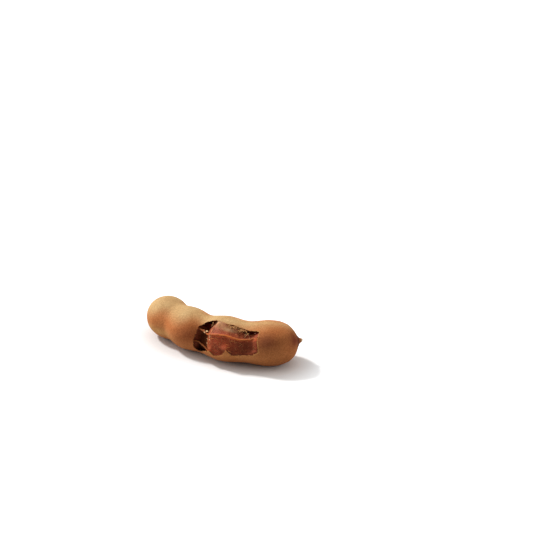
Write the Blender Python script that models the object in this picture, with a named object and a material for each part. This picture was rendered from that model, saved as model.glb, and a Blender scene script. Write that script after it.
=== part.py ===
"""A ripe tamarind pod lying on its side, with part of its brittle shell broken away.

The pod is drawn straight, as distances along it with a radius at each, and then bent along its spine.
A point on it has a distance along the spine, an angle round it (0 faces the front, 90 faces up) and a
radius. Lengths here are in millimetres and angles in degrees; the meshes are in metres.
"""

import math

import bmesh
import bpy

MM = 0.001

# The spine, seen from above: where the stalk end starts, and the way it heads at each distance along it.
SPINE_START = (-42.8, 27.1)
HEADINGS = ((0, -61), (27, -43), (54, -28), (82, -6), (109, 14))
SPINE_STEP = 0.25

# The outline of the straight pod, from the stalk end to the beak: distance along it and radius.
OUTLINE = (
    (-1.3, 0), (-1.25, 2), (-0.9, 3), (-0.1, 4.3),  # neck round the stalk
    (1.6, 6.9), (4.6, 10.3), (8.7, 12.6), (13.3, 13.4),  # round end
    (23.2, 12.2), (34.5, 13.5), (46, 12.2), (61, 14.1), (75, 12.8), (89.5, 14.1),  # grooves and lobes
    (96.5, 12.9), (100.5, 11), (103.2, 8.3), (104.9, 5.5),  # shoulder
    (106.1, 3.1), (107.3, 1.6), (108.7, 1), (109.2, 0),  # beak
)
CREASES = (  # distance, angle, depth, half length before, half length beyond, half angle
    (24.3, 5, 0.7, 3.5, 3.5, 60),
    (47, 100, 0.3, 4, 4, 60),
    (49, 25, 3, 6.5, 3.5, 40),
)
CENTRE_HEIGHTS = ((13.3, 13.4), (34.5, 13.5), (61, 14.1), (89.5, 14.1), (103.5, 14.1), (109, 15.1))
OUTLINE_STEP = 2.5
SIDES = 24
SETTLED = 0.45  # how far each lobe is pressed flat where it lies

WALL = 1.0
CAVITY_ENDS = (-0.4, 105)
PULP_GAP = 0.45
PULP_ENDS = (1.8, 103)

# The corners of the window's broken edge, round once: distance along the pod and angle round it.
WINDOW = (
    (56, 78), (50, 70), (46, 50), (45, 0), (45, -30), (48, -40),  # the deep bay over the waist
    (56, -15), (59, -26), (63, -20), (66, 0), (69, -15),  # the lower edge, with a tongue left standing
    (80, -7), (83, 5), (82, 35), (83, 60), (77, 63), (70, 72), (64, 72),  # the right side and the top
)
BREAK_LENGTH = 3.5  # between corners the shell breaks in short straight pieces
BREAK_DEPTH = 0.4
BREAK_TURN = 2.4  # radians from one break to the next, so that they don't repeat
DEGREE_REACH = 0.235  # millimetres of shell to a degree
WINDOW_REACH = (0.55, 1.3)  # the cutter's inner and outer radius, as shares of the pod's
WINDOW_CUTS = ((48, 84, 4), (-30, 80, 10))  # where the cutter is divided to bend: distances, angles

# The pulp: its waists (distance, share of the radius lost, half width) and its flattened faces.
WAISTS = ((23, 0.12, 5), (49.7, 0.24, 4), (77, 0.05, 5))
LOWER_RIDGES = (-100, -28)  # the angles of its blunt edges, below and above the upper strand's own
UPPER_RIDGES = (96, 168)
FLATNESS = 0.42
DENTS = (  # distance, angle, share lost, half length before, half length beyond, half angle
    (80.5, 66, 0.17, 5.5, 5.5, 22),
    (53.2, 76, 0.2, 2.2, 2.2, 14),
)

# The two fibre strands on the pulp: distance along the pod and angle round it, chosen by hand.
UPPER_STRAND = (
    (0, 70), (30, 52), (46, 48), (53, 33), (60, 38), (65, 40), (72, 34), (84, 43), (104, 50),
)
LOWER_STRAND = ((0, -30), (40, -5), (47, -8), (53, -22), (60, -40), (104, -46))
STRAND_RADIUS = 0.5
STRAND_SUNK = 0.4
STRAND_SAG = 0.4  # the share of a waist's depth that a strand follows
STRAND_STEP = 2.2
STRAND_ENDS = (0, 98)
CLEARANCE = 0.3

# The stalk: distance along the pod and radius, from its broken end to its root inside.
STALK = ((-4.8, 2.2), (-3.2, 1.8), (-1.4, 2.05), (0.8, 1.9), (3.4, 1.5))
STALK_RIBS = 7
RIB_DEPTH = 0.14
STALK_HOLE = 2.35
STALK_HOLE_ENDS = (-4, 3)
ROOT_HOLE_ENDS = (-3, 4)
PLUG_SIDES = 16


def between(pairs, at):
    """The value at a place on a line through pairs of place and value."""
    if at <= pairs[0][0]:
        return pairs[0][1]
    for (low, first), (high, second) in zip(pairs, pairs[1:]):
        if at <= high:
            return first + (second - first) * (at - low) / (high - low)
    return pairs[-1][1]


def spine_points():
    """The spine's points in plan, one for each step along it."""
    x, y = SPINE_START
    points = [(x, y)]
    for step in range(int(OUTLINE[-1][0] / SPINE_STEP) + 1):
        heading = math.radians(between(HEADINGS, (step + 0.5) * SPINE_STEP))
        x += math.cos(heading) * SPINE_STEP
        y += math.sin(heading) * SPINE_STEP
        points.append((x, y))
    return points


SPINE = spine_points()


def place(along, angle, radius, floor=False):
    """The point, in metres, at a distance along the pod, an angle round it and a radius."""
    heading = math.radians(between(HEADINGS, along))
    step = min(max(along, 0) / SPINE_STEP, len(SPINE) - 2)
    index = int(step)
    share = step - index
    before = min(along, 0)  # the stalk runs straight on past the spine's start
    x = SPINE[index][0] + (SPINE[index + 1][0] - SPINE[index][0]) * share + math.cos(heading) * before
    y = SPINE[index][1] + (SPINE[index + 1][1] - SPINE[index][1]) * share + math.sin(heading) * before
    out = radius * math.cos(math.radians(angle))
    z = between(CENTRE_HEIGHTS, along) - SETTLED + radius * math.sin(math.radians(angle))
    if floor:
        z = max(z, 0)
    return ((x + out * math.sin(heading)) * MM, (y - out * math.cos(heading)) * MM, z * MM)


def smooth_outline(points, step):
    """A smooth curve through the points, cut into pieces of about one step."""
    padded = [points[0]] + list(points) + [points[-1]]
    curve = []
    for before, start, end, after in zip(padded, padded[1:], padded[2:], padded[3:]):
        pieces = max(2, round(math.dist(start, end) / step))
        spans = [max(math.dist(a, b), 0.01) for a, b in ((before, start), (start, end), (end, after))]
        for piece in range(pieces):
            t = piece / pieces
            point = []
            for p0, p1, p2, p3 in zip(before, start, end, after):
                leave = (p1 - p0) / spans[0] - (p2 - p0) / (spans[0] + spans[1]) + (p2 - p1) / spans[1]
                arrive = (p2 - p1) / spans[1] - (p3 - p1) / (spans[1] + spans[2]) + (p3 - p2) / spans[2]
                point.append(
                    (2 * t**3 - 3 * t**2 + 1) * p1 + (t**3 - 2 * t**2 + t) * leave * spans[1]
                    + (3 * t**2 - 2 * t**3) * p2 + (t**3 - t**2) * arrive * spans[1]
                )
            curve.append(tuple(point))
    return curve + [points[-1]]


def inset(outline, depth, ends):
    """The outline moved inwards by a depth, and closed at both ends."""
    inner = []
    for before, here, after in zip(outline, outline[1:], outline[2:]):
        along, out = after[0] - before[0], after[1] - before[1]
        length = math.hypot(along, out)
        point = (here[0] + depth * out / length, here[1] - depth * along / length)
        onward = not inner or point[0] > inner[-1][0] + 0.05
        if point[1] > 1 and ends[0] < point[0] < ends[1] and onward:
            inner.append(point)
    return [(inner[0][0] - 0.15, 0)] + inner + [(inner[-1][0] + 0.6, 0)]


SKIN = smooth_outline(OUTLINE, OUTLINE_STEP)


def bumps(table, along, angle):
    """The sum of soft-edged dents at a distance along the pod and an angle round it."""
    total = 0
    for at, middle, most, before, beyond, half_angle in table:
        turn = (angle - middle + 180) % 360 - 180
        half_length = before if along < at else beyond
        total += most * math.exp(-(((along - at) / half_length) ** 2) - (turn / half_angle) ** 2)
    return total


def shell_radius(along, angle, full):
    """The shell's radius, with the grooves pressed deeper on one side."""
    return full - bumps(CREASES, along, angle)


def waist_loss(along):
    """The share of the pulp's radius that its waists take away."""
    return sum(loss * math.exp(-(((along - at) / half) ** 4)) for at, loss, half in WAISTS)


def face_loss(along, angle):
    """The share of the radius lost on the flattened faces between the pulp's blunt edges."""
    start = LOWER_RIDGES[0]
    edges = (*LOWER_RIDGES, between(UPPER_STRAND, along), *UPPER_RIDGES, start + 360)
    turned = (angle - start) % 360 + start
    for first, second in zip(edges, edges[1:]):
        if turned <= second:
            half = math.radians((second - first) / 2)
            off = math.radians(turned - (first + second) / 2)
            return FLATNESS * (1 - math.cos(half) / math.cos(off))
    return 0


def pulp_radius(along, angle, full):
    """The pulp's radius, where full is the radius that would fill the shell."""
    loss = waist_loss(along) + face_loss(along, angle) + bumps(DENTS, along, angle)
    return shell_radius(along, angle, full) - full * loss


def lobed_body(name, outline, radius, floor=False):
    """A closed sphere drawn out along the pod, with one ring of points at each point of the outline."""
    mesh = bmesh.new()
    rings = len(outline) - 1
    bmesh.ops.create_uvsphere(mesh, u_segments=SIDES, v_segments=rings, radius=1)
    for vert in mesh.verts:
        ring = round(math.acos(max(-1, min(1, vert.co.z))) / math.pi * rings)
        along, out = outline[ring]
        angle = math.degrees(math.atan2(vert.co.y, vert.co.x)) + 180 / SIDES
        vert.co = place(along, angle, radius(along, angle, out) if out else 0, floor)
    return mesh_object(name, mesh)


def mesh_object(name, mesh):
    """An object made from a closed bmesh, with its faces turned outwards and shaded smooth."""
    bmesh.ops.recalc_face_normals(mesh, faces=mesh.faces)
    if mesh.calc_volume(signed=True) < 0:
        bmesh.ops.reverse_faces(mesh, faces=mesh.faces)
    data = bpy.data.meshes.new(name)
    mesh.to_mesh(data)
    mesh.free()
    data.shade_smooth()
    return bpy.data.objects.new(name, data)


def ragged_edge(corners):
    """The corners, with short breaks between them that lie a little to one side or the other."""
    points = []
    for (along, angle), (next_along, next_angle) in zip(corners, corners[1:] + corners[:1]):
        run, rise = next_along - along, (next_angle - angle) * DEGREE_REACH
        reach = math.hypot(run, rise)
        breaks = max(1, round(reach / BREAK_LENGTH))
        for step in range(breaks):
            share = step / breaks
            side = BREAK_DEPTH * math.sin(BREAK_TURN * len(points)) if step else 0
            points.append((
                along + run * share - side * rise / reach,
                angle + (rise * share + side * run / reach) / DEGREE_REACH,
            ))
    return points


def window_plug():
    """The window's broken outline, drawn flat, cut into small faces, thickened and bent round the pod."""
    mesh = bmesh.new()
    mesh.faces.new([mesh.verts.new((along, angle, 0)) for along, angle in ragged_edge(WINDOW)])
    for normal, cuts in zip(((1, 0, 0), (0, 1, 0)), WINDOW_CUTS):
        for at in range(*cuts):
            point = tuple(value * at for value in normal)
            everything = mesh.verts[:] + mesh.edges[:] + mesh.faces[:]
            bmesh.ops.bisect_plane(mesh, geom=everything, plane_co=point, plane_no=normal)
    made = bmesh.ops.extrude_face_region(mesh, geom=mesh.faces[:])
    for vert in made["geom"]:
        if isinstance(vert, bmesh.types.BMVert):
            vert.co.z = 1
    skin = [point for point in SKIN if 40 < point[0] < 90]
    for vert in mesh.verts:
        along, angle, level = vert.co
        share = WINDOW_REACH[0] + (WINDOW_REACH[1] - WINDOW_REACH[0]) * level
        vert.co = place(along, angle, between(skin, along) * share)
    bmesh.ops.triangulate(mesh, faces=mesh.faces)
    return mesh_object("window_plug", mesh)


def round_plug(name, radius, ends):
    """A cylinder on the spine's line, for a hole at the stalk."""
    mesh = bmesh.new()
    bmesh.ops.create_cone(mesh, cap_ends=True, segments=PLUG_SIDES, radius1=1, radius2=1, depth=1)
    for vert in mesh.verts:
        angle = math.degrees(math.atan2(vert.co.y, vert.co.x))
        vert.co = place(ends[0] if vert.co.z < 0 else ends[1], angle, radius)
    return mesh_object(name, mesh)


def stalk():
    """The ribbed woody stub: a cylinder's rings drawn along the spine's line."""
    mesh = bmesh.new()
    sides = STALK_RIBS * 2
    bmesh.ops.create_circle(mesh, cap_ends=True, segments=sides, radius=1)
    for _ in STALK[1:]:
        top = [face for face in mesh.faces if len(face.verts) == sides][-1]
        raised = bmesh.ops.extrude_face_region(mesh, geom=[top])
        bmesh.ops.delete(mesh, geom=[top], context="FACES_ONLY")
        bmesh.ops.translate(mesh, vec=(0, 0, 1), verts=[v for v in raised["geom"] if hasattr(v, "co")])
    bottom = [vert for vert in mesh.verts if vert.co.z < 0.5]
    mesh.faces.new(sorted(bottom, key=lambda vert: math.atan2(vert.co.y, vert.co.x)))
    for vert in mesh.verts:
        along, radius = STALK[round(vert.co.z)]
        angle = math.degrees(math.atan2(vert.co.y, vert.co.x))
        rib = 1 if round(angle / 360 * sides) % 2 else 1 - RIB_DEPTH
        vert.co = place(along, angle, radius * rib)
    return mesh_object("stalk_and_strands", mesh)


def strand_path(route):
    """A strand's points: it lies in the pulp's skin, and bridges most of a waist."""
    depth = WALL + PULP_GAP + STRAND_SUNK
    points = []
    for along, radius in inset(smooth_outline(OUTLINE, 0.5), depth, STRAND_ENDS)[1:-1]:
        angle = between(route, along)
        lost = STRAND_SAG * waist_loss(along) + face_loss(along, angle)
        points.append(place(along, angle, shell_radius(along, angle, radius) - radius * lost))
    path = points[:1]
    for point in points:
        if math.dist(point, path[-1]) >= STRAND_STEP * MM:
            path.append(point)
    return path


def tube(name, path, radius):
    """A closed six-sided tube along a path, as a mesh."""
    curve = bpy.data.curves.new(name, "CURVE")
    curve.dimensions = "3D"
    curve.bevel_depth = radius * MM
    curve.bevel_resolution = 1
    curve.use_fill_caps = True
    spline = curve.splines.new("POLY")
    spline.points.add(len(path) - 1)
    for point, spot in zip(spline.points, path):
        point.co = (*spot, 1)
    bent = bpy.data.objects.new(name, curve)
    bpy.context.scene.collection.objects.link(bent)
    data = bpy.data.meshes.new_from_object(bent.evaluated_get(bpy.context.evaluated_depsgraph_get()))
    bpy.data.objects.remove(bent)
    mesh = bmesh.new()
    mesh.from_mesh(data)
    bmesh.ops.remove_doubles(mesh, verts=mesh.verts, dist=1e-6)
    return mesh_object(name, mesh)


def boolean(target, operation, *others):
    """Boolean modifiers on the target, one for each other object."""
    for other in others:
        modifier = target.modifiers.new(other.name, "BOOLEAN")
        modifier.operation = operation
        modifier.object = other
        modifier.solver = "EXACT"


def finish(target, collection, colour, roughness):
    """Puts a piece in the pod's collection, with a material of its own."""
    material = bpy.data.materials.new(target.name)
    material.use_nodes = True
    shader = material.node_tree.nodes["Principled BSDF"]
    shader.inputs["Base Color"].default_value = (*colour, 1)
    shader.inputs["Roughness"].default_value = roughness
    shader.inputs["Metallic"].default_value = 0
    target.data.materials.append(material)
    collection.objects.link(target)


def build():
    for old in list(bpy.data.objects):
        bpy.data.objects.remove(old)
    pod = bpy.data.collections.new("tamarind_pod")
    cutters = bpy.data.collections.new("cutters")
    for collection in (pod, cutters):
        bpy.context.scene.collection.children.link(collection)

    shell = lobed_body("shell", SKIN, shell_radius, floor=True)
    cavity = lobed_body("cavity", inset(SKIN, WALL, CAVITY_ENDS), shell_radius)
    window = window_plug()
    stalk_hole = round_plug("stalk_hole", STALK_HOLE, STALK_HOLE_ENDS)
    boolean(shell, "DIFFERENCE", cavity, window, stalk_hole)

    pulp = lobed_body("pulp", inset(SKIN, WALL + PULP_GAP, PULP_ENDS), pulp_radius)
    root_hole = round_plug("root_hole", STALK[-1][1] + CLEARANCE, ROOT_HOLE_ENDS)
    routes = {"upper_strand": strand_path(UPPER_STRAND), "lower_strand": strand_path(LOWER_STRAND)}
    channels = [tube(name + "_channel", path, STRAND_RADIUS + CLEARANCE) for name, path in routes.items()]
    boolean(pulp, "DIFFERENCE", root_hole, *channels)

    stem = stalk()
    strands = [tube(name, path, STRAND_RADIUS) for name, path in routes.items()]
    boolean(stem, "UNION", *strands)

    finish(shell, pod, (0.53, 0.31, 0.15), 0.8)
    finish(pulp, pod, (0.15, 0.035, 0.018), 0.5)
    finish(stem, pod, (0.4, 0.14, 0.05), 0.7)
    for cutter in (cavity, window, stalk_hole, root_hole, *channels, *strands):
        cutters.objects.link(cutter)
        cutter.hide_render = True
        cutter.display_type = "WIRE"


build()
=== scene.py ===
import math

import bpy
import numpy as np
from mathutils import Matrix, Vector, noise


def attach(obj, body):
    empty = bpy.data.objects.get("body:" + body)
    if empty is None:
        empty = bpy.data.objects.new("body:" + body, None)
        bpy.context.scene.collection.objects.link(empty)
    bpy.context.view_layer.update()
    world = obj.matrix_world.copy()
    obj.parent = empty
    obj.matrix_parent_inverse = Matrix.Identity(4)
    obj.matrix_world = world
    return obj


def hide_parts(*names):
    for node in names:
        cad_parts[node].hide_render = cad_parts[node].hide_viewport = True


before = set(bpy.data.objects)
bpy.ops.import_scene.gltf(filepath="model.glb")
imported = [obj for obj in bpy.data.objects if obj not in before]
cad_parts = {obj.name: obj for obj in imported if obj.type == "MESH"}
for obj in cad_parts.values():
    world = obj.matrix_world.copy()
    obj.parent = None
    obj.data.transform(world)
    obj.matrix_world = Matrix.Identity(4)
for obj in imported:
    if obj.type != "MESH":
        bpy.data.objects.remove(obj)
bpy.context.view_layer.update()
mm = 0.001

# The pod's form, as its solids have it: millimetres and degrees. A place on the pod is a distance along
# its spine and an angle round it, where 0 faces the front and 90 faces up.
podForm = {
    "spineStart": (-42.8, 27.1),
    "headings": ((0, -61), (27, -43), (54, -28), (82, -6), (109, 14)),
    "outline": (
        (-1.3, 0), (-1.25, 2), (-0.9, 3), (-0.1, 4.3),
        (1.6, 6.9), (4.6, 10.3), (8.7, 12.6), (13.3, 13.4),
        (23.2, 12.2), (34.5, 13.5), (46, 12.2), (61, 14.1), (75, 12.8), (89.5, 14.1),
        (96.5, 12.9), (100.5, 11), (103.2, 8.3), (104.9, 5.5),
        (106.1, 3.1), (107.3, 1.6), (108.7, 1), (109.2, 0),
    ),
    "centreHeights": ((13.3, 13.4), (34.5, 13.5), (61, 14.1), (89.5, 14.1), (103.5, 14.1), (109, 15.1)),
    "creases": (  # distance, angle, depth, half length before, half length beyond, half angle
        (24.3, 5, 0.7, 3.5, 3.5, 60), (47, 100, 0.3, 4, 4, 60), (49, 25, 3, 6.5, 3.5, 40),
    ),
    "settled": 0.45,
}


def between(pairs, at):
    return np.interp(at, [pair[0] for pair in pairs], [pair[1] for pair in pairs])


def spineTable(step=0.25):
    heads = np.radians(between(podForm["headings"], (np.arange(440) + 0.5) * step))
    steps = np.stack([np.cos(heads), np.sin(heads)], 1) * step
    return np.arange(441) * step, np.vstack([[0, 0], np.cumsum(steps, 0)]) + podForm["spineStart"]


spineAt, spinePoints = spineTable()


def placeOn(along, angle, radius, floor=False):  # metres
    along, angle, radius = np.broadcast_arrays(*(np.asarray(a, float) for a in (along, angle, radius)))
    heading = np.radians(between(podForm["headings"], along))
    before = np.minimum(along, 0)
    x = np.interp(along, spineAt, spinePoints[:, 0]) + np.cos(heading) * before
    y = np.interp(along, spineAt, spinePoints[:, 1]) + np.sin(heading) * before
    out = radius * np.cos(np.radians(angle))
    z = between(podForm["centreHeights"], along) - podForm["settled"] + radius * np.sin(np.radians(angle))
    if floor:
        z = np.maximum(z, 0)
    return np.stack([x + out * np.sin(heading), y - out * np.cos(heading), z], -1) * mm


def smoothOutline(points, fine=0.05):
    padded = [points[0], *points, points[-1]]
    curve = []
    for before, start, end, after in zip(padded, padded[1:], padded[2:], padded[3:]):
        spans = [max(math.dist(a, b), 0.01) for a, b in ((before, start), (start, end), (end, after))]
        before, start, end, after = (np.array(p, float) for p in (before, start, end, after))
        first, own, last = spans
        leave = (start - before) / first - (end - before) / (first + own) + (end - start) / own
        arrive = (end - start) / own - (after - start) / (own + last) + (after - end) / last
        t = np.linspace(0, 1, max(4, round(own / fine)), endpoint=False)[:, None]
        curve.append(
            (2 * t**3 - 3 * t**2 + 1) * start + (t**3 - 2 * t**2 + t) * leave * own
            + (3 * t**2 - 2 * t**3) * end + (t**3 - t**2) * arrive * own
        )
    return np.vstack([*curve, [points[-1]]])


def spread(curve, stepAt):  # points along a curve, closer together where stepAt is small
    gaps = np.linalg.norm(np.diff(curve, axis=0), axis=1)
    middles = (curve[1:] + curve[:-1]) / 2
    run = np.concatenate([[0], np.cumsum(gaps / stepAt(middles))])
    places = np.linspace(0, run[-1], int(run[-1]) + 1)
    return np.stack([np.interp(places, run, column) for column in curve.T], 1)


def dents(table, along, angle):
    total = 0
    for at, middle, depth, before, beyond, halfAngle in table:
        turn = (angle - middle + 180) % 360 - 180
        run = (along - at) / np.where(along < at, before, beyond)
        total = total + depth * np.exp(-(run**2) - (turn / halfAngle) ** 2)
    return total


skinOutline = smoothOutline(podForm["outline"])
skinDegree = 0.235  # millimetres of skin to a degree
pulpDegree = 0.21


def bump(values, middle, half, power=2):  # 1 at the middle, falling off to both sides
    return np.exp(-(((values - middle) / half) ** power))


def spot(along, angle, at, middle, halfLength, halfAngle, power=2):  # the same, along and round the pod
    return np.exp(-(((along - at) / halfLength) ** power) - ((angle - middle) / halfAngle) ** power)


def paint(look, ground, zones, along, angle):  # soft zones of a look's named colours over its ground colour
    colour = np.tile(np.array(look[ground], float), (len(along), 1))
    for middle, turn, halfLength, halfAngle, name in zones:
        share = spot(along, angle, middle, turn, halfLength, halfAngle)[:, None]
        colour = colour * (1 - share) + np.array(look[name]) * share
    return colour


def addNode(tree, kind, feeds=None, **settings):
    made = tree.nodes.new(kind)
    for name, value in settings.items():
        setattr(made, name, value)
    for socket, value in (feeds or {}).items():
        if isinstance(value, bpy.types.Node):
            value = next(s for s in value.outputs if s.enabled)
        if isinstance(value, bpy.types.NodeSocket):
            tree.links.new(value, made.inputs[socket])
        else:
            made.inputs[socket].default_value = value
    return made


def mathNode(tree, operation, *values, clamp=False):
    return addNode(tree, "ShaderNodeMath", dict(enumerate(values)), operation=operation, use_clamp=clamp)


def vectorNode(tree, operation, first, second):
    feeds = {0: first, "Scale" if operation == "SCALE" else 1: second}
    return addNode(tree, "ShaderNodeVectorMath", feeds, operation=operation).outputs[0]


def named(tree, name, kind="FLOAT"):  # a mesh attribute, read in a geometry tree
    made = addNode(tree, "GeometryNodeInputNamedAttribute", {"Name": name}, data_type=kind)
    return next(s for s in made.outputs if s.enabled)


def newGroup(name, kind, inputs, outputs):
    tree = bpy.data.node_groups.new(name, kind)
    for label, socket, value in inputs:
        made = tree.interface.new_socket(label, in_out="INPUT", socket_type=socket)
        if value is not None:
            made.default_value = value
    for label, socket in outputs:
        tree.interface.new_socket(label, in_out="OUTPUT", socket_type=socket)
    return tree, tree.nodes.new("NodeGroupInput"), tree.nodes.new("NodeGroupOutput")


def newGeometryTree(name, values):  # a tree with named inputs, whole numbers or not
    kinds = {int: "NodeSocketInt", float: "NodeSocketFloat"}
    inputs = [(label, kinds[type(value)], value) for label, value in values.items()]
    shape = ("Geometry", "NodeSocketGeometry")
    return newGroup(name, "GeometryNodeTree", [(*shape, None), *inputs], [shape])


def coat(tree, geometry, material):  # real instances, with a material
    whole = addNode(tree, "GeometryNodeRealizeInstances", {0: geometry})
    return addNode(tree, "GeometryNodeSetMaterial", {"Geometry": whole, "Material": material})


def link(piece):
    bpy.context.scene.collection.objects.link(piece)
    return piece


def meshPiece(name, points, faces, values=None):
    mesh = bpy.data.meshes.new(name)
    mesh.from_pydata(points.tolist(), [], [face.tolist() for face in faces])
    for label, numbers in (values or {}).items():
        vector = np.ndim(numbers) == 2
        made = mesh.attributes.new(label, "FLOAT_VECTOR" if vector else "FLOAT", "POINT")
        made.data.foreach_set("vector" if vector else "value", np.asarray(numbers, np.float32).ravel())
    return link(bpy.data.objects.new(name, mesh))


def growNodes(base, tree, settings, name=None):  # runs a geometry tree on an object and keeps its mesh
    grown = base.modifiers.new(tree.name, "NODES")
    grown.node_group = tree
    for item in tree.interface.items_tree:
        if item.in_out == "INPUT" and item.name in settings:
            grown[item.identifier] = settings[item.name]
    mesh = bpy.data.meshes.new_from_object(base.evaluated_get(bpy.context.evaluated_depsgraph_get()))
    piece = link(bpy.data.objects.new(name or base.name, mesh))
    base.modifiers.remove(grown)
    if not name:
        label = base.name
        bpy.data.objects.remove(base)
        piece.name = label
    mesh.name = piece.name
    return piece


def sphereGrid(rings, sides):  # triangles of a closed grid with a pole at each end
    ring, side = np.meshgrid(np.arange(rings - 3), np.arange(sides), indexing="ij")
    onward = (side + 1) % sides
    a, b = 1 + ring * sides + side, 1 + ring * sides + onward
    c, d = a + sides, b + sides
    leaning = (ring + side) % 2 == 0
    first = np.where(leaning[..., None], np.stack([a, b, d], -1), np.stack([a, b, c], -1))
    second = np.where(leaning[..., None], np.stack([a, d, c], -1), np.stack([b, d, c], -1))
    turn = np.arange(sides)
    after = (turn + 1) % sides
    last = 1 + (rings - 2) * sides
    start = np.stack([np.zeros(sides, int), 1 + after, 1 + turn], -1)
    end = np.stack([np.full(sides, last), last - sides + turn, last - sides + after], -1)
    return np.vstack([start, first.reshape(-1, 3), second.reshape(-1, 3), end])[:, ::-1]


def gridPlaces(outline, angles):  # distance, angle and full radius of every point of such a grid
    along = np.concatenate([[outline[0, 0]], np.repeat(outline[1:-1, 0], len(angles)), [outline[-1, 0]]])
    full = np.concatenate([[0], np.repeat(outline[1:-1, 1], len(angles)), [0]])
    angle = np.concatenate([[0], np.tile(angles, len(outline) - 2), [0]])
    return along, angle, full


def pointNormals(points, faces):
    corners = points[faces]
    across = np.cross(corners[:, 1] - corners[:, 0], corners[:, 2] - corners[:, 0])
    normals = np.zeros_like(points)
    for corner in range(3):
        np.add.at(normals, faces[:, corner], across)
    return normals / np.maximum(np.linalg.norm(normals, axis=1, keepdims=True), 1e-15)


def fineSteps(form, zone, unit=1):  # small steps inside a zone, coarse ones outside it
    first, last = form[zone]

    def stepAt(middle):
        fine = (middle[:, 0] > first) & (middle[:, 0] < last)
        return np.where(fine, form["fineStep"], form["coarseStep"]) / unit

    return stepAt


def surfaceGrid(form, outline, degree):  # a closed grid round the pod, finest round the window
    outline = spread(outline, fineSteps(form, "fineZone"))
    turn = np.linspace(-180, 180, 721)
    angles = spread(np.stack([turn, turn * 0], 1), fineSteps(form, "fineAngles", degree))[:-1, 0]
    return gridPlaces(outline, angles), sphereGrid(len(outline), len(angles))


def roughness3d(places, size, octaves=3, seed=0):  # fractal noise at places given in millimetres
    shift = Vector((seed * 17.3, seed * 5.1, seed * 9.7))
    return np.array([noise.fractal(Vector(p) / size + shift, 1.0, 2.0, octaves) for p in places])


studio = {
    "cameraAt": (0.0270, -0.6834, 0.4051),
    "lookDown": 27,
    "lens": 85,
    "sensor": 36,
    "clipStart": 0.01,
    "lights": (  # name, the bearing and height it comes from, strength, spread in degrees
        ("key", 148.5, 47.5, 2.95, 8),
        ("left", 175, 15, 1.45, 60),
        ("right", 2, 15, 1.45, 60),
    ),
    "skyStrength": 0.07,
    "floorHalf": 3,
    "floorSeen": 0.72,
    "floorBounce": 0.49,
    "floorLift": 0.62,
    "contactReach": 0.0165,
    "contactShadowTint": (2.05, 2.25, 2.40),  # how fast each colour of the painted contact shadow fades towards the contact
}


def directionOf(bearing, height):
    bearing, height = math.radians(bearing), math.radians(height)
    flat = math.cos(height)
    return Vector((flat * math.cos(bearing), flat * math.sin(bearing), math.sin(height)))


def makeStudio():
    data = bpy.data.cameras.new("camera")
    data.lens = studio["lens"]
    data.sensor_width = studio["sensor"]
    data.clip_start = studio["clipStart"]
    camera = bpy.data.objects.new("camera", data)
    camera.location = studio["cameraAt"]
    camera.rotation_euler = (math.radians(90 - studio["lookDown"]), 0, 0)
    link(camera)
    bpy.context.scene.camera = camera

    for name, bearing, height, strength, spreadAngle in studio["lights"]:
        sun = bpy.data.lights.new(name, "SUN")
        sun.energy = strength
        sun.angle = math.radians(spreadAngle)
        lamp = bpy.data.objects.new(name, sun)
        lamp.rotation_euler = directionOf(bearing, height).to_track_quat("Z", "Y").to_euler()
        link(lamp)

    world = bpy.data.worlds.new("studio")
    world.use_nodes = True
    sky = world.node_tree.nodes["Background"]
    sky.inputs["Color"].default_value = (1, 1, 1, 1)
    seen = addNode(world.node_tree, "ShaderNodeLightPath").outputs["Is Camera Ray"]
    glow = mathNode(world.node_tree, "MULTIPLY_ADD", seen, 1 - studio["skyStrength"], studio["skyStrength"])
    world.node_tree.links.new(glow.outputs[0], sky.inputs["Strength"])  # lights little, but is seen white
    bpy.context.scene.world = world
    bpy.context.scene.view_settings.view_transform = "Standard"


def makeFloor():
    half = studio["floorHalf"]
    corners = np.array([(-half, -half, 0), (half, -half, 0), (half, half, 0), (-half, half, 0)], float)
    floor = meshPiece("floor", corners, np.array([[0, 1, 2, 3]]))
    material = bpy.data.materials.new("paleFloor")
    material.use_nodes = True
    tree = material.node_tree
    tree.nodes.clear()
    seen = addNode(tree, "ShaderNodeLightPath").outputs["Is Camera Ray"]
    near = addNode(tree, "ShaderNodeAmbientOcclusion", {"Distance": studio["contactReach"]}, samples=12)
    fades = {c: mathNode(tree, "POWER", near.outputs["AO"], studio["contactShadowTint"][c]) for c in range(3)}
    shade = addNode(tree, "ShaderNodeCombineColor", fades).outputs[0]
    bounce = studio["floorBounce"]
    albedo = mathNode(tree, "MULTIPLY_ADD", seen, studio["floorSeen"] - bounce, bounce)
    white = addNode(tree, "ShaderNodeBsdfDiffuse", {"Color": albedo})
    glow = addNode(tree, "ShaderNodeEmission", {"Color": shade, "Strength": studio["floorLift"]})
    dark = addNode(tree, "ShaderNodeEmission", {"Strength": 0.0})
    lift = addNode(tree, "ShaderNodeMixShader", {0: seen, 1: dark, 2: glow})
    both = addNode(tree, "ShaderNodeAddShader", {0: white, 1: lift})
    addNode(tree, "ShaderNodeOutputMaterial", {"Surface": both})
    floor.data.materials.append(material)


makeStudio()
makeFloor()
print("studio ready")


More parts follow.
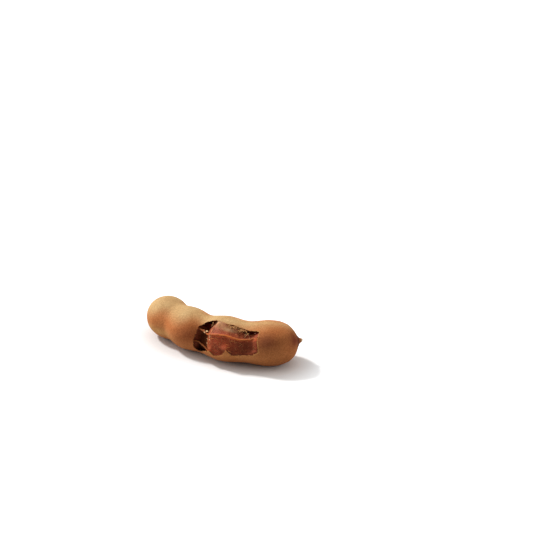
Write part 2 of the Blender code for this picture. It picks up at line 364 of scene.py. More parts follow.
shellForm = {
    "fineStep": 0.34,
    "coarseStep": 0.85,
    "fineZone": (42, 87),  # distance along the pod, round the window
    "fineAngles": (-52, 92),
    "wall": 0.9,
    "edgeWall": 0.28,
    "edgeThinning": 1.6,
    "raggedness": 0.6,
    "raggedSize": 0.9,
    "edgeLift": 0.22,
    "searchZone": (40, 89),  # the part of the shell where the window's edge is looked for
    "searchAngles": (-60, 100),
    "raggedReach": 3,
    "leastDistance": 0.05,
    "edgeLiftSize": 4.0,
    "frayReach": 0.9,
    "tearSize": 0.7,
    "tearDepth": 0.16,
    "tearMiddle": 0.8,
    "stalkHole": 2.1,
    "lumpHeight": 0.16,
    "lumpSize": 7.0,
    "grainHeight": 0.035,
    "grainSize": 1.3,
    "puckers": 11,
    "puckerDepth": 0.16,
    "puckerWander": (0.9, 0.7),
    "beakPuckers": (106.5, 3.6),  # where they are deepest, and how far they reach
    "beakPuckerShare": 0.8,
    "neckPuckers": (-0.5, 3.0),
    "beakFrom": (108.5, 3.4),
    "neckFrom": (-1.2, 2.6),
    "paleLitRimBeyond": (78, 3),  # where the broken edge is pale, partly a painted highlight where it catches light: on the right
    "paleLitRimLeft": (56, 4.5, 0.9),  # and below, at the left
    "sharpAngle": 55,
    "splinterSink": 0.3,
    "window": (  # the corners of its broken edge: distance along the pod and angle round it
        (56, 78), (50, 70), (46, 50), (45, 0), (45, -30), (48, -40),
        (56, -15), (59, -26), (63, -20), (66, 0), (69, -15),
        (80, -7), (83, 5), (82, 35), (83, 60), (77, 63), (70, 72), (64, 72),
    ),
}


def windowDistance(along, angle):  # millimetres from the broken edge, negative inside the window
    edge = np.array(shellForm["window"]) * (1, skinDegree)
    points = np.stack([along, angle * skinDegree], 1)
    nearest = np.full(len(points), 99.0)
    inside = np.zeros(len(points), bool)
    for start, end in zip(edge, np.roll(edge, -1, 0)):
        run = end - start
        share = np.clip(((points - start) @ run) / (run @ run), 0, 1)
        nearest = np.minimum(nearest, np.linalg.norm(points - start - share[:, None] * run, axis=1))
        crosses = (start[1] > points[:, 1]) != (end[1] > points[:, 1])
        reach = start[0] + run[0] * (points[:, 1] - start[1]) / (run[1] if run[1] else 1e-9)
        inside ^= crosses & (points[:, 0] < reach)
    return np.where(inside, -nearest, nearest)


def wallAt(fromEdge):  # the shell grows thin towards the broken edge
    thin = np.exp(-np.clip(fromEdge, 0, 99) / shellForm["edgeThinning"])
    return shellForm["wall"] + (shellForm["edgeWall"] - shellForm["wall"]) * thin


def clipFaces(faces, keep):  # cuts triangles along the line where keep is 0, and keeps its positive side
    into = keep[faces] > 0
    whole = faces[into.all(1)]
    made = {}
    pieces, rim = [], []

    def crossing(a, b):
        pair = (min(a, b), max(a, b))
        return made.setdefault(pair, len(keep) + len(made))

    for face, inside in zip(faces[into.any(1) & ~into.all(1)], into[into.any(1) & ~into.all(1)]):
        odd = int(np.argmax(inside)) if inside.sum() == 1 else int(np.argmin(inside))
        a, b, c = (int(face[(odd + turn) % 3]) for turn in range(3))
        ab, ac = crossing(a, b), crossing(a, c)
        if inside.sum() == 1:
            pieces.append((a, ab, ac))
            rim.append((ab, ac))
        else:
            pieces += [(ab, b, c), (ab, c, ac)]
            rim.append((ac, ab))
    return np.vstack([whole, pieces]), np.array(rim), np.array(list(made))


skinLook = {
    # the skin's lower side: its colour painted darker and warmer as shade
    "shadedWarm": (0.7, 0.25, 0.08),
    "dustAndLitPale": (0.76, 0.5, 0.23),  # the pale dust on the upper side, and painted light: the lit upper side is paler
    "tan": (0.95, 0.5, 0.18),
    "amberBounceLight": (0.88, 0.36, 0.12),
    "russetShade": (0.58, 0.17, 0.055),
    "smoky": (0.42, 0.13, 0.05),
    "burnt": (0.26, 0.052, 0.018),
    "litPaleLine": ((0, 10), (30, 38), (109, 95)),  # distance, and the angle above which the skin is pale and painted lit, below it painted shade
    "grooves": (21, 43),  # where the painted shade climbs higher, into the grooves
    "grooveRise": 22,
    "grooveWidth": 6,
    "litPaleSoft": 26,
    "zones": (  # distance, angle, half length, half angle and colour
        # tan and amber are painted light on the underside, standing in for bounce from the floor; russet is
        # painted shade at the window's left edge
        (18, -18, 10, 15, "tan"), (68, -16, 14, 12, "amberBounceLight"), (42, 15, 7, 28, "russetShade"),
        (87, 32, 6, 20, "smoky"), (103, 38, 3, 32, "burnt"),
    ),
    "patch": (0.93, 0.87, 0.82),
    "beak": (  # colour, and the shares of the way to the tip where it starts and is whole
        ((0.19, 0.038, 0.013), 0.24, 0.42),
        ((0.52, 0.170, 0.058), 0.50, 0.66),
        ((0.95, 0.640, 0.360), 0.76, 0.88),
    ),
    "neck": (0.62, 0.26, 0.07),
    # the broken edge's own pale colour, and a painted highlight where it catches light
    "edge": (0.88, 0.46, 0.15),
    "grain": (0.68, 0.56, 0.48),
    "grainShare": 0.54,
    "grainSize": 0.8,
    "patchSize": 9.0,
    "sheen": (1, 0.8, 0.55, 1),
    "bumpDepth": 0.00017,
}


def skinTint(along, angle):  # the far side is painted as the near side is; painted light above a line, painted shade below it
    look = skinLook
    near = np.where(np.abs(angle) > 90, np.sign(angle) * 180 - angle, angle)
    line = between(look["litPaleLine"], along)
    for groove in look["grooves"]:
        line = line + look["grooveRise"] * bump(along, groove, look["grooveWidth"])
    share = np.clip((near - line) / (2 * look["litPaleSoft"]) + 0.5, 0, 1)[:, None]
    share = share * share * (3 - 2 * share)
    return paint(look, "shadedWarm", look["zones"], along, near) * (1 - share) + np.array(look["dustAndLitPale"]) * share


def makeShell():
    form = shellForm
    (along, angle, full), faces = surfaceGrid(form, skinOutline, skinDegree)

    first, last = form["searchZone"]
    lowest, highest = form["searchAngles"]
    near = (along > first) & (along < last) & (angle > lowest) & (angle < highest)
    keep = np.full(len(along), 99.0)
    keep[near] = windowDistance(along[near], angle[near])
    close = near & (np.abs(keep) < form["raggedReach"])
    spots = np.stack([along, angle * skinDegree, along * 0], 1)[close]
    ragged = roughness3d(spots, form["raggedSize"], 4, seed=3)
    keep[close] += form["raggedness"] * ragged
    keep = np.where(along < 3, full - form["stalkHole"], keep)
    least = form["leastDistance"]  # no point so near the cut that it leaves a sliver
    keep = np.where(np.abs(keep) < least, np.where(keep < 0, -least, least), keep)
    faces, rim, pairs = clipFaces(faces, keep)
    share = (keep[pairs[:, 0]] / (keep[pairs[:, 0]] - keep[pairs[:, 1]]))[:, None]
    columns = np.stack([along, angle, full, keep], 1)
    columns = np.vstack([columns, columns[pairs[:, 0]] * (1 - share) + columns[pairs[:, 1]] * share])
    used, faces = np.unique(faces, return_inverse=True)
    faces = faces.reshape(-1, 3)
    rim = np.searchsorted(used, rim)
    along, angle, full, keep = columns[used].T

    ends = bump(along, *form["beakPuckers"]) * form["beakPuckerShare"] + bump(along, *form["neckPuckers"])
    pace, swing = form["puckerWander"]
    wave = np.cos(np.radians(angle) * form["puckers"] + np.sin(along * pace) * swing)
    radius = full - dents(podForm["creases"], along, angle)
    radius = radius - form["puckerDepth"] * ends * (0.5 + 0.5 * wave) * np.minimum(full / 3, 1)
    atWindow = along > 10  # not at the stalk's hole
    frayed = np.exp(-np.clip(keep, 0, 9) / form["frayReach"]) * atWindow
    spots = placeOn(along, angle, radius) / mm
    lift = np.zeros(len(along))
    rimZone = frayed > 0.05
    lift[rimZone] = roughness3d(spots[rimZone], form["edgeLiftSize"], 2, seed=8)
    radius = radius + form["edgeLift"] * lift * frayed
    outer = placeOn(along, angle, radius, floor=True)
    normals = pointNormals(outer, faces)

    wall = wallAt(np.where(atWindow, keep, 99))
    tear = np.zeros((len(along), 3))
    edgePoints = np.unique(rim)
    for axis in range(3):
        torn = roughness3d(spots[edgePoints], form["tearSize"], 2, seed=11 + axis)
        tear[edgePoints, axis] = torn * form["tearDepth"] * mm
    inner = outer - normals * (wall * mm)[:, None] + tear
    middle = (outer + inner)[edgePoints] / 2 + tear[edgePoints] * form["tearMiddle"]
    count = len(along)
    middleAt = np.full(count, -1)
    middleAt[edgePoints] = 2 * count + np.arange(len(edgePoints))
    a, b = rim.T
    upper = np.stack([b, a, middleAt[a], middleAt[b]], 1)
    lower = np.stack([middleAt[b], middleAt[a], a + count, b + count], 1)
    points = np.vstack([outer, inner, middle])
    allFaces = [*faces, *(faces[:, ::-1] + count), *upper, *lower]

    def both(values):
        return np.concatenate([values, values, values[edgePoints]])

    beyond, fade = form["paleLitRimBeyond"]
    at, half, strength = form["paleLitRimLeft"]
    paleLitRimAmount = np.clip((along - beyond) / fade, 0, 1) + strength * bump(along, at, half) * (angle < 0)
    beakAt, beakReach = form["beakFrom"]
    neckAt, neckReach = form["neckFrom"]
    values = {
        "skinShare": np.concatenate([np.ones(count), np.zeros(len(points) - count)]),
        "edgeDistance": both(np.where(atWindow, np.clip(keep, 0, 20), 20)),
        "tint": both(skinTint(along, angle)),
        "paleLitRimShare": both(paleLitRimAmount),
        "beakShare": both(np.exp(-np.clip(beakAt - along, 0, 99) / beakReach)),
        "neckShare": both(np.exp(-np.clip(along - neckAt, 0, 99) / neckReach)),
        "podAlong": both(along),
        "podAngle": both(angle),
    }
    shell = meshPiece("podShell", points, allFaces, values)
    broken = shell.data.attributes.new("broken", "BOOLEAN", "FACE")
    broken.data.foreach_set("value", np.arange(len(allFaces)) >= len(faces))
    shell.data.shade_smooth()
    shell.data.set_sharp_from_angle(angle=math.radians(form["sharpAngle"]))

    atRim = rim[along[rim[:, 0]] > 10]
    run = outer[atRim[:, 1]] - outer[atRim[:, 0]]
    out = normals[atRim[:, 0]]
    into = np.cross(out, run)
    into /= np.linalg.norm(into, axis=1, keepdims=True)
    edge = meshPiece(
        "brokenEdge", outer[atRim].mean(1) - out * form["splinterSink"] * mm, [],
        {"into": into, "out": out, "podAlong": along[atRim[:, 0]], "podAngle": angle[atRim[:, 0]]},
    )
    return shell, edge


def makeMottle():  # soft patches, fine grain and a height for bump, on the object's own coordinates
    tree, start, end = newGroup(
        "mottle", "ShaderNodeTree",
        (("Vector", "NodeSocketVector", None), ("Patch size", "NodeSocketFloat", 8.0),
         ("Grain size", "NodeSocketFloat", 0.8)),
        (("Patches", "NodeSocketFloat"), ("Grain", "NodeSocketFloat"), ("Height", "NodeSocketFloat")),
    )
    vector = start.outputs["Vector"]
    patchScale = mathNode(tree, "DIVIDE", 1000.0, start.outputs["Patch size"])
    grainScale = mathNode(tree, "DIVIDE", 1000.0, start.outputs["Grain size"])
    patches = addNode(
        tree, "ShaderNodeTexNoise", {"Vector": vector, "Scale": patchScale, "Detail": 3.0}
    )
    grain = addNode(
        tree, "ShaderNodeTexNoise", {"Vector": vector, "Scale": grainScale, "Detail": 4.0, "Roughness": 0.6}
    )
    cells = addNode(tree, "ShaderNodeTexVoronoi", {"Vector": vector, "Scale": grainScale}, feature="F1")
    cellHeight = mathNode(tree, "MULTIPLY", cells.outputs["Distance"], 0.45)
    height = mathNode(tree, "ADD", grain.outputs[0], cellHeight)
    tree.links.new(patches.outputs[0], end.inputs["Patches"])
    tree.links.new(grain.outputs[0], end.inputs["Grain"])
    tree.links.new(height.outputs[0], end.inputs["Height"])
    return tree


def makeSoften():  # a soft step: 0 below Low, 1 above High
    values = {"Value": 0.0, "Low": 0.0, "High": 1.0}
    inputs = [(label, "NodeSocketFloat", value) for label, value in values.items()]
    tree, start, end = newGroup("softStep", "ShaderNodeTree", inputs, (("Mask", "NodeSocketFloat"),))
    value, low, high = (start.outputs[label] for label in ("Value", "Low", "High"))
    step = addNode(
        tree, "ShaderNodeMapRange", {"Value": value, "From Min": low, "From Max": high},
        interpolation_type="SMOOTHSTEP",
    )
    tree.links.new(step.outputs[0], end.inputs["Mask"])
    return tree


mottleGroup = makeMottle()
softStepGroup = makeSoften()


def startMaterial(name, patchSize, grainSize, **constants):  # with its noise, in millimetres
    material = bpy.data.materials.new(name)
    material.use_nodes = True
    tree = material.node_tree
    for label, value in constants.items():
        tree.nodes["Principled BSDF"].inputs[label].default_value = value
    place = addNode(tree, "ShaderNodeTexCoord").outputs["Object"]
    feeds = {"Vector": place, "Patch size": patchSize, "Grain size": grainSize}
    return material, tree, addNode(tree, "ShaderNodeGroup", feeds, node_tree=mottleGroup)


def attribute(tree, name):
    return addNode(tree, "ShaderNodeAttribute", attribute_name=name).outputs["Fac"]


def softStep(tree, value, low, high):
    return addNode(
        tree, "ShaderNodeGroup", {"Value": value, "Low": low, "High": high}, node_tree=softStepGroup
    ).outputs["Mask"]


def mixColour(tree, share, first, second, mode="MIX"):
    made = addNode(tree, "ShaderNodeMix", data_type="RGBA", blend_type=mode)
    for socket, value in ((0, share), (6, first), (7, second)):
        if isinstance(value, bpy.types.NodeSocket):
            tree.links.new(value, made.inputs[socket])
        else:
            made.inputs[socket].default_value = value if socket == 0 else (*value, 1)
    return made.outputs[2]


def stain(tree, layer, low, high, amount, colour, tint):  # multiplies in a tint along a noise layer
    mask = mathNode(tree, "MULTIPLY", softStep(tree, layer, low, high), amount)
    return mixColour(tree, mask.outputs[0], colour, tint, "MULTIPLY")


def tintOf(tree):
    return addNode(tree, "ShaderNodeAttribute", attribute_name="tint").outputs["Color"]


def finishMaterial(material, spots, colour, bumpDepth, roughness=None):
    tree = material.node_tree
    shader = tree.nodes["Principled BSDF"]
    tree.links.new(colour, shader.inputs["Base Color"])
    if roughness:
        layer, share, least = roughness
        rough = mathNode(tree, "MULTIPLY_ADD", spots.outputs[layer], share, least)
        tree.links.new(rough.outputs[0], shader.inputs["Roughness"])
    relief = addNode(tree, "ShaderNodeBump", {"Height": spots.outputs["Height"], "Distance": bumpDepth})
    tree.links.new(relief.outputs[0], shader.inputs["Normal"])
    return material


def makeSkinMaterial():
    look = skinLook
    material, tree, spots = startMaterial(
        "suedeSkin", look["patchSize"], look["grainSize"],
        **{"Specular IOR Level": 0.12, "Sheen Weight": 0.06, "Sheen Roughness": 0.5}
    )
    tree.nodes["Principled BSDF"].inputs["Sheen Tint"].default_value = look["sheen"]
    patches, grain = spots.outputs["Patches"], spots.outputs["Grain"]
    patchy = softStep(tree, patches, 0.38, 0.64)
    colour = mixColour(tree, patchy, tintOf(tree), look["patch"], "MULTIPLY")
    colour = mixColour(tree, attribute(tree, "neckShare"), colour, look["neck"])
    for tint, low, high in look["beak"]:
        colour = mixColour(tree, softStep(tree, attribute(tree, "beakShare"), low, high), colour, tint)
    colour = stain(tree, grain, 0.59, 0.41, look["grainShare"], colour, look["grain"])
    # the pale edge, partly a painted highlight
    nearEdge = softStep(tree, attribute(tree, "edgeDistance"), 0.5, 0.05)
    edge = mathNode(tree, "MULTIPLY", nearEdge, attribute(tree, "paleLitRimShare"))
    colour = mixColour(tree, edge.outputs[0], colour, look["edge"])
    return finishMaterial(material, spots, colour, look["bumpDepth"], ("Grain", 0.2, 0.66))


breakLook = {
    "pale": (0.80, 0.34, 0.10),
    "brown": (0.55, 0.19, 0.055),
    "dark": (0.16, 0.04, 0.012),
    # the shell's inner face, painted dark as shade in the window's hollows, redder low down
    "shadedLining": (0.20, 0.045, 0.015),
    "lowLining": (0.62, 0.10, 0.020),
    "shadedFrom": (56.0, 49.0),  # distance along the pod: below it the broken wall is painted dark as shade
    "lowFrom": (-25.0, -45.0),  # angle round it
    "paleReach": 0.6,
    "patchSize": 2.0,
    "grainSize": 0.35,
    "bumpDepth": 0.0001,
}


def makeBreakMaterial():
    look = breakLook
    material, tree, spots = startMaterial(
        "brokenWall", look["patchSize"], look["grainSize"], **{"Specular IOR Level": 0.25, "Roughness": 0.8}
    )
    patchy = softStep(tree, spots.outputs["Patches"], 0.4, 0.6)
    colour = mixColour(tree, patchy, look["pale"], look["brown"])
    # painted shade on the broken wall in the hollow at the left, and on the inner face
    dark = softStep(tree, attribute(tree, "podAlong"), *look["shadedFrom"])
    colour = mixColour(tree, dark, colour, look["dark"])
    low = softStep(tree, attribute(tree, "podAngle"), *look["lowFrom"])
    shadedLining = mixColour(tree, low, look["shadedLining"], look["lowLining"])
    inside = softStep(tree, attribute(tree, "edgeDistance"), 0.0, look["paleReach"])
    return finishMaterial(material, spots, mixColour(tree, inside, colour, shadedLining), look["bumpDepth"])


def makeReliefTree(name, mainMaterial, otherMaterial=None):  # noise relief along the normals
    tree, start, end = newGeometryTree(name, {
        "Lump height": 0.1, "Lump size": 5.0, "Grain height": 0.03, "Grain size": 1.0, "Seed": 1.0,
    })
    total = None
    for size, height, detail in (("Lump size", "Lump height", 2.0), ("Grain size", "Grain height", 3.0)):
        scale = mathNode(tree, "DIVIDE", 1000.0, start.outputs[size])
        waves = addNode(
            tree, "ShaderNodeTexNoise", {"W": start.outputs["Seed"], "Scale": scale, "Detail": detail},
            noise_dimensions="4D",
        )
        centred = mathNode(tree, "SUBTRACT", waves.outputs[0], 0.5)
        raised = mathNode(tree, "MULTIPLY", centred, start.outputs[height])
        total = raised if total is None else mathNode(tree, "ADD", total, raised)
    total = mathNode(tree, "MULTIPLY", total, named(tree, "skinShare"))
    total = mathNode(tree, "MULTIPLY", total, 2 * mm)
    offset = vectorNode(tree, "SCALE", addNode(tree, "GeometryNodeInputNormal"), total)
    moved = addNode(
        tree, "GeometryNodeSetPosition", {"Geometry": start.outputs["Geometry"], "Offset": offset}
    )
    coated = coat(tree, moved, mainMaterial)
    if otherMaterial:
        coated = addNode(
            tree, "GeometryNodeSetMaterial",
            {"Geometry": coated, "Selection": named(tree, "broken", "BOOLEAN"), "Material": otherMaterial},
        )
    tree.links.new(coated.outputs[0], end.inputs[0])
    return tree


def reliefOf(form, seed):
    labels = {"Lump height": "lumpHeight", "Lump size": "lumpSize",
              "Grain height": "grainHeight", "Grain size": "grainSize"}
    return {**{label: form[key] for label, key in labels.items()}, "Seed": seed}


def settleOnFloor(piece):  # nothing reaches below the surface that the pod lies on
    points = np.empty(len(piece.data.vertices) * 3, np.float32)
    piece.data.vertices.foreach_get("co", points)
    points[2::3] = np.maximum(points[2::3], 0)
    piece.data.vertices.foreach_set("co", points)


shell, brokenEdge = makeShell()
shell = growNodes(
    shell, makeReliefTree("shellRelief", makeSkinMaterial(), makeBreakMaterial()), reliefOf(shellForm, 4.0),
)
settleOnFloor(shell)
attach(shell, "root")
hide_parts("shell")
print("shell ready:", len(shell.data.polygons), "faces")


pulpForm = {
    "fineStep": 0.36,
    "coarseStep": 1.1,
    "fineZone": (43, 86),
    "fineAngles": (-62, 100),
    "inset": 1.45,
    "ends": (1.8, 103),
    "waists": ((23, 0.12, 5), (49.7, 0.24, 4.0), (77, 0.05, 5)),
    "lowerRidges": (-100, -28),
    "upperRidges": (96, 168),
    "flatness": 0.42,
    "dents": (
        (79, 66, 0.2, 6.3, 5.5, 21), (53.2, 76, 0.2, 2.2, 2.2, 14), (48, -68, -0.26, 6, 5, 36),
    ),
    "hugDepth": 0.03,  # how far under the thin edge of the shell the pulp comes up to meet it
    "hugReach": 2.6,
    "hugFrom": (54.5, 57.5),
    "gaps": (  # where it stays clear of the edge: distance, angle, half sizes
        (78.5, 72, 5.5, 16), (54, 76, 3.2, 14), (70.5, 71, 5, 6.5), (61.5, -12, 4, 8),
    ),
    "flush": ((60, 77, 4, 12), (76, -10, 6, 6)),  # where it comes level with the skin
    "crestHeight": 0.3,
    "crestWidth": 0.9,
    "lumpHeight": 0.2,
    "lumpSize": 3.2,
    "grainHeight": 0.08,
    "grainSize": 0.9,
    "waistWhole": 0.2,  # the loss at which a waist's own colours are whole
    "edgeReach": 8,
    "leftRim": (54.9, 0.9, 44, 8),  # distance, half length, and the angle it ends at and its fade
    "besideStrand": (-0.75, 0.7, 0.75),  # millimetres from the crest, half width, share
    "onCrest": (0, 0.45, 0.8),
    "lowEdgeShade": (0.7, 12, 66, 0.45),  # painted shade along the window's lower edge: half width, below this angle, beyond this distance, share
    "dullSpot": (78, 69, 1, 5, 5, 9),  # as a dent is given: here the pulp has no gloss
    "crumbZone": (1.2, 45, 62, 77),  # half width, above this angle, between these distances
}
pulpZones = (  # distance, angle, half length, half angle and colour
    (62, 20, 8, 18, "glowBright"), (58, -11, 4, 9, "glowBright"), (79, 15, 6, 20, "shade"), (66, -5, 6, 6, "shade"),
    (60, 66, 5, 9, "dusty"), (58, 80, 4, 11, "pale"), (66, 59, 4, 5, "pale"), (77, 70, 6, 8, "hollowShade"),
)
pulpLook = {
    "base": (0.42, 0.09, 0.035),
    # a brighter red on the pulp's front, partly painted glow where it lies in shade
    "glowBright": (0.62, 0.11, 0.04),
    "shade": (0.34, 0.065, 0.025),
    "dusty": (0.6, 0.26, 0.12),
    "pale": (0.9, 0.55, 0.28),
    # the hollow and black colours are painted shade in the hollows by the window's edges
    "hollowShade": (0.28, 0.02, 0.005),
    "blackShade": (0.02, 0.004, 0.002),
    "rim": (0.47, 0.105, 0.033),
    "underStrand": (0.82, 0.158, 0.050),
    "ridge": (0.85, 0.22, 0.055),
    # the waist between the segments, painted dark as shade
    "waist": (0.19, 0.055, 0.021),
    "patch": (0.62, 0.55, 0.5),
    "fleck": (0.66, 0.27, 0.12),
    "pit": (0.45, 0.3, 0.28),
    "patchShare": 0.35,
    "pitShare": 0.65,
    "patchSize": 3.0,
    "grainSize": 0.7,
    "shine": 0.14,
    "glowReach": (1.4, 0.35, 0.15),
    "bumpDepth": 0.00008,
}
waistShadeZones = ((46, -33, 3, 14, "blackShade"), (49, 80, 5, 17, "hollowShade"))
strandForm = {
    "upper": ((0, 70), (30, 52), (46, 48), (53, 33), (60, 38), (65, 40), (72, 34), (84, 43), (104, 50)),
    "lower": ((0, -30), (40, -5), (47, -8), (53, -22), (60, -40), (104, -46)),
    "ends": (0, 98),
    "sunk": -0.05,
    "sag": 0.4,
    "lift": {"upper": (48.5, 3, 1.6), "lower": (49, 3.4, 1.2)},  # distance, half length, rise at the waist
    "step": 0.6,
    "radius": 0.44,
    "fibreRadius": 0.15,
    "fibres": 7,
    "twists": {"upper": 0.35, "lower": 0.28},
}


def insetOutline(depth, ends):
    run = np.diff(skinOutline, axis=0)
    run = (run[1:] + run[:-1]) / 2
    run /= np.linalg.norm(run, axis=1, keepdims=True)
    moved = skinOutline[1:-1] + depth * np.stack([run[:, 1], -run[:, 0]], 1)
    kept = []
    for point in moved:
        if point[1] > 1 and ends[0] < point[0] < ends[1] and (not kept or point[0] > kept[-1][0] + 0.05):
            kept.append(point)
    return np.vstack([[(kept[0][0] - 0.15, 0)], kept, [(kept[-1][0] + 0.6, 0)]])


def waistLoss(along):
    return sum(loss * bump(along, at, half, 4) for at, loss, half in pulpForm["waists"])


def faceLoss(along, angle):  # the share of the radius lost on the flat faces between the blunt edges
    start = pulpForm["lowerRidges"][0]
    upper = between(strandForm["upper"], along)
    fixed = [*pulpForm["lowerRidges"], None, *pulpForm["upperRidges"], start + 360]
    edges = [upper if edge is None else upper * 0 + edge for edge in fixed]
    turned = (angle - start) % 360 + start
    loss = np.zeros(np.shape(turned))
    for first, second in zip(edges, edges[1:]):
        within = (turned >= first) & (turned <= second)
        half = np.radians((second - first) / 2)
        off = np.radians(turned - (first + second) / 2)
        lost = pulpForm["flatness"] * (1 - np.cos(half) / np.cos(np.clip(off, -1.5, 1.5)))
        loss = np.where(within, lost, loss)
    return loss


def pulpRadius(along, angle, full):
    form = pulpForm
    waist, flat = waistLoss(along), faceLoss(along, angle)
    radius = full - dents(podForm["creases"], along, angle)
    radius = radius - full * (waist + flat + dents(form["dents"], along, angle))
    offCrest = (angle - between(strandForm["upper"], along)) * pulpDegree
    crest = bump(offCrest, 0, form["crestWidth"])
    onSegment = 1 - np.clip(waist / form["waistWhole"], 0, 1)
    radius = radius + form["crestHeight"] * crest * onSegment * (full > 5)
    fromEdge = windowDistance(along, angle)
    hug = bump(np.clip(-fromEdge, 0, 99), 0, form["hugReach"])
    start, whole = form["hugFrom"]
    hug = hug * np.clip((along - start) / (whole - start), 0, 1) * (along < 90)
    for gap in form["gaps"]:
        hug = hug * (1 - spot(along, angle, *gap, 4))
    skin = np.interp(along, *skinOutline.T) - dents(podForm["creases"], along, angle)
    met = skin - wallAt(fromEdge) - form["hugDepth"]
    for zone in form["flush"]:
        level = spot(along, angle, *zone, 4) * np.clip((0.1 - fromEdge) / 0.2, 0, 1)
        met = met + level * (skin - 0.02 - met)
    radius = radius + np.maximum(met - radius, 0) * hug * (np.abs(fromEdge) < form["edgeReach"])
    return radius, (offCrest, crest, onSegment, hug, fromEdge)


def makePulp():
    form, look = pulpForm, pulpLook
    (along, angle, full), faces = surfaceGrid(form, insetOutline(form["inset"], form["ends"]), pulpDegree)
    radius, (offCrest, crest, onSegment, hug, fromEdge) = pulpRadius(along, angle, full)
    points = placeOn(along, angle, radius)
    tint = paint(look, "base", pulpZones, along, angle)

    def lay(ground, share, colour):
        share = share[:, None]
        return ground * (1 - share) + np.array(colour) * share

    at, half, endsAt, fade = form["leftRim"]
    tint = lay(tint, bump(along, at, half) * np.clip((endsAt - angle) / fade, 0, 1), look["rim"])
    for band, colour in (("besideStrand", "underStrand"), ("onCrest", "ridge")):
        middle, half, share = form[band]
        tint = lay(tint, bump(offCrest, middle, half) * share, look[colour])
    half, below, beyond, share = form["lowEdgeShade"]
    lowEdgeShade = bump(fromEdge, 0, half) * (angle < below) * (along > beyond)
    tint = tint * (1 - share * lowEdgeShade[:, None])
    # the waist and its hollows are painted dark as shade
    tint = lay(tint, 1 - onSegment, paint(look, "waist", waistShadeZones, along, angle))
    reach, above, first, last = form["crumbZone"]
    values = {
        "tint": tint,
        "skinShare": (1 - 0.7 * crest) * np.clip(full / 5, 0, 1) * (1 - 0.8 * hug * (fromEdge > -1)),
        "gloss": onSegment * (1 - dents((form["dullSpot"],), along, angle)),
        "upperFace": np.clip((angle - between(strandForm["upper"], along)) / 12, 0, 1),
        "podAlong": along,
        "podAngle": angle,
        "showing": np.clip(-fromEdge - 0.8, 0, 1) * onSegment,
        "underRim": bump(fromEdge, 0, reach) * (angle > above) * (along > first) * (along < last),
    }
    pulp = meshPiece("podPulp", points, faces, values)
    pulp.data.shade_smooth()
    return pulp


def makePulpMaterial():
    look = pulpLook
    material, tree, spots = startMaterial(
        "stickyPulp", look["patchSize"], look["grainSize"],
        **{"Subsurface Weight": 0.1, "Subsurface Scale": 0.001}
    )
    shader = tree.nodes["Principled BSDF"]
    shown = attribute(tree, "gloss")
    shine = mathNode(tree, "MULTIPLY", shown, look["shine"])
    tree.links.new(shine.outputs[0], shader.inputs["Specular IOR Level"])
    shader.inputs["Subsurface Radius"].default_value = look["glowReach"]
    patches, grain = spots.outputs["Patches"], spots.outputs["Grain"]
    colour = stain(tree, patches, 0.40, 0.62, look["patchShare"], tintOf(tree), look["patch"])
    onUpper = mathNode(tree, "MULTIPLY_ADD", attribute(tree, "upperFace"), 0.4, 0.3)
    pale = mathNode(tree, "MULTIPLY", softStep(tree, grain, 0.56, 0.70), onUpper)
    pale = mathNode(tree, "MULTIPLY", pale, shown)
    colour = mixColour(tree, pale.outputs[0], colour, look["fleck"])
    colour = stain(tree, grain, 0.50, 0.36, look["pitShare"], colour, look["pit"])
    return finishMaterial(material, spots, colour, look["bumpDepth"], ("Patches", 0.3, 0.42))


pulp = growNodes(makePulp(), makeReliefTree("pulpRelief", makePulpMaterial()), reliefOf(pulpForm, 9.0))
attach(pulp, "root")
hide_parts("pulp")
print("pulp ready:", len(pulp.data.polygons), "faces")


def strandPath(name):
    depth = pulpForm["inset"] + strandForm["sunk"]
    outline = insetOutline(depth, strandForm["ends"])[1:-1]
    outline = spread(outline, lambda middle: np.full(len(middle), strandForm["step"]))
    along, full = outline.T
    angle = between(strandForm[name], along)
    waist = waistLoss(along)
    radius = full - dents(podForm["creases"], along, angle)
    radius = radius - full * (strandForm["sag"] * waist + faceLoss(along, angle))
    inGap = np.clip(waist / pulpForm["waistWhole"], 0, 1)
    if name == "upper":
        radius = radius + pulpForm["crestHeight"] * (1 - inGap)
    at, half, rise = strandForm["lift"][name]
    return placeOn(along, angle, radius + rise * bump(along, at, half)), inGap


